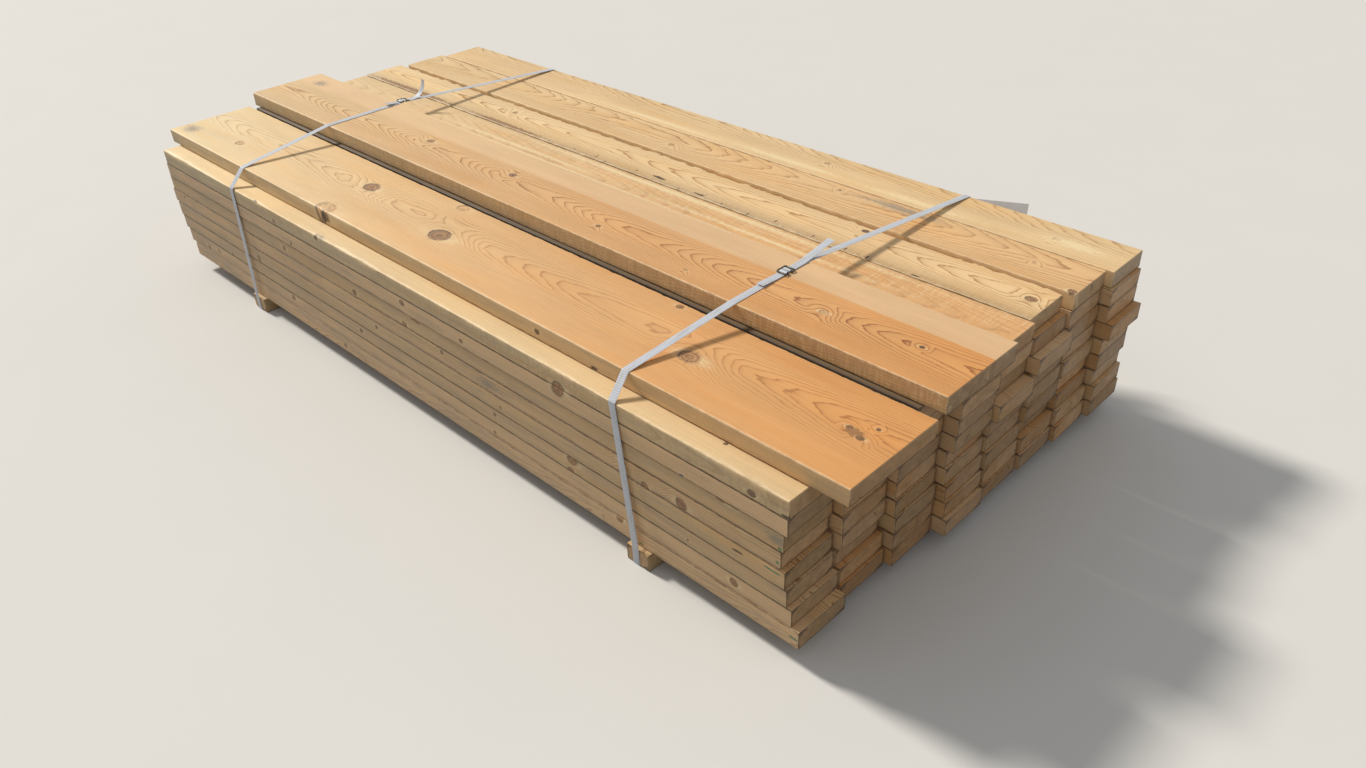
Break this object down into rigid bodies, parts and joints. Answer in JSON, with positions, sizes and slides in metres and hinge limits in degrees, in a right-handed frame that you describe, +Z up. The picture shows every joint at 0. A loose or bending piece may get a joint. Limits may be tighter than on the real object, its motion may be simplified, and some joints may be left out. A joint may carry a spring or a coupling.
{
  "type": "bundle of pine studs",
  "caption": "Strapped stack of sawn pine studs and two wide planks on low bearers, with woven straps and wire buckles.",
  "frame": {"origin": "middle of the footprint, at the level that the bearers rest on", "axes": "+X along the studs towards their near ends, +Y across the bundle, +Z up"},
  "size_m": [2.725, 1.3228, 0.5519],
  "materials": {
    "pine": "sawn",
    "bearer_wood": "rough sawn",
    "strap_webbing": "woven",
    "buckle_wire": "phosphated",
    "label_plastic": "matte"
  },
  "bodies": {
    "root": {"stud_layer_1": "pine", "stud_layer_2": "pine", "stud_layer_3": "pine", "stud_layer_4": "pine", "stud_layer_5": "pine", "stud_layer_6": "pine", "stud_layer_7": "pine", "stud_layer_8": "pine", "stud_layer_9": "pine", "wide_plank": "pine", "top_plank": "pine", "near_bearer": "bearer_wood", "far_bearer": "bearer_wood", "near_strap": "strap_webbing", "far_strap": "strap_webbing", "near_buckle": "buckle_wire", "far_buckle": "buckle_wire", "label": "label_plastic"}
  },
  "joints": []
}
